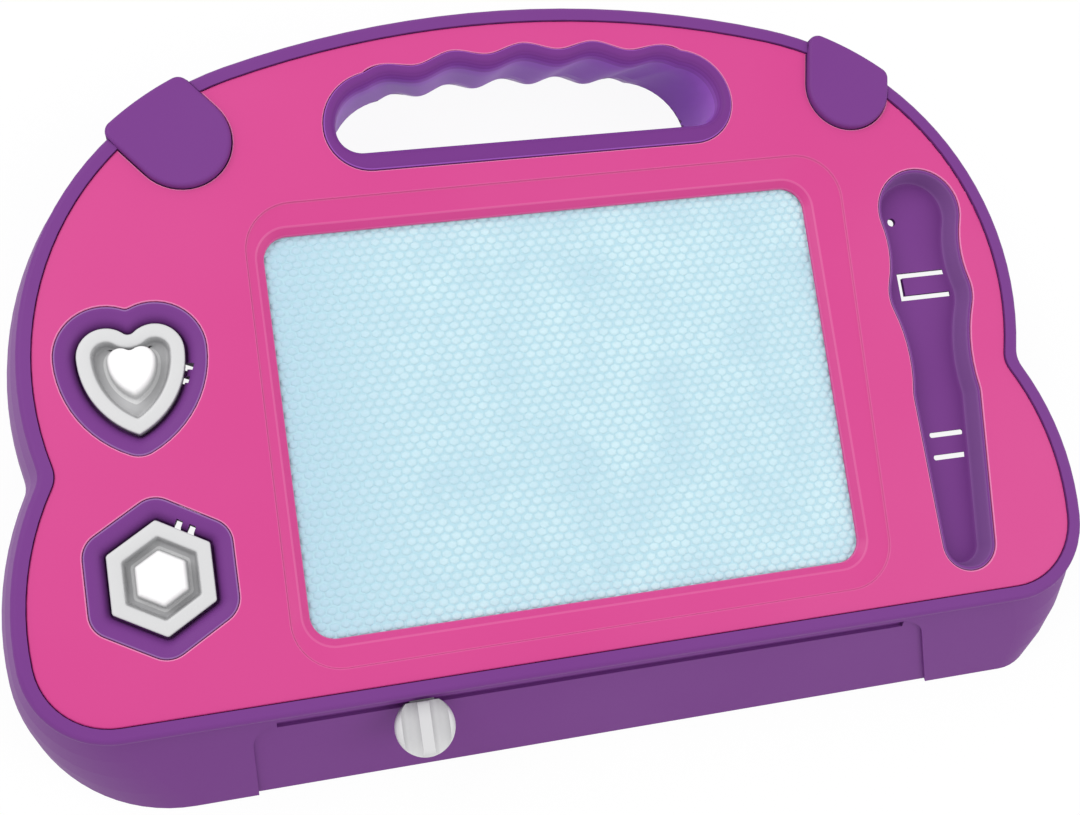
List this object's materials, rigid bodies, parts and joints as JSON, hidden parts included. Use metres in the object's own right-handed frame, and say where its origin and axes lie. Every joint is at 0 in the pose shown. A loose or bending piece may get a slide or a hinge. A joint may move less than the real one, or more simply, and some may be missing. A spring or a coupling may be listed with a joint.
{
  "type": "magnetic drawing board",
  "caption": "Dome-shaped magnetic drawing board with a scalloped grip, a honeycomb screen, lift-out heart and hexagon stamps, a pen tray and a sliding eraser knob.",
  "frame": {"origin": "middle of the board's bounding box, at the flat back it lies on", "axes": "+X along the length towards the pen tray, +Y from the slider's wall to the handle, +Z out of the screen"},
  "size_m": [0.3764, 0.26, 0.0443],
  "materials": {
    "panel_plastic": "satin injection-moulded ABS, pink",
    "case_plastic": "satin injection-moulded ABS, purple",
    "stamp_plastic": "satin injection-moulded ABS, white",
    "film": "clear PET film",
    "cells": "pale cell sheet filled with white fluid",
    "backing": "white PVC sheet",
    "inner_plastic": "plain grey polypropylene",
    "magnet": "ferrite in rubber, matt",
    "screw_steel": "zinc-plated steel"
  },
  "bodies": {
    "board": {"rear_case": "case_plastic", "front_cover": "panel_plastic", "handle_ring": "case_plastic", "corner_clip_left": "case_plastic", "corner_clip_right": "case_plastic", "heart_pocket": "case_plastic", "hexagon_pocket": "case_plastic", "pen_tray": "case_plastic", "screen_film": "film", "honeycomb_core": "cells", "screen_backing": "backing", "screen_clamp_frame": "inner_plastic", "clamp_screws": "screw_steel", "guide_rail_lower": "inner_plastic", "guide_rail_upper": "inner_plastic", "case_screws": "screw_steel"},
    "eraser": {"eraser_bar": "inner_plastic", "eraser_magnet": "magnet", "eraser_knob": "stamp_plastic", "knob_screw": "screw_steel"},
    "heart": {"heart_stamp": "stamp_plastic", "heart_stamp_magnet": "magnet"},
    "hexagon": {"hexagon_stamp": "stamp_plastic", "hexagon_stamp_magnet": "magnet"}
  },
  "joints": [
    {"name": "eraser_slide", "type": "slide", "parent": "board", "child": "eraser", "axis": [1, 0, 0], "range_m": [-0.034, 0.157]},
    {"name": "heart_lift", "type": "slide", "parent": "board", "child": "heart", "axis": [0, 0, 1], "range_m": [0, 0.03]},
    {"name": "hexagon_lift", "type": "slide", "parent": "board", "child": "hexagon", "axis": [0, 0, 1], "range_m": [0, 0.03]}
  ]
}
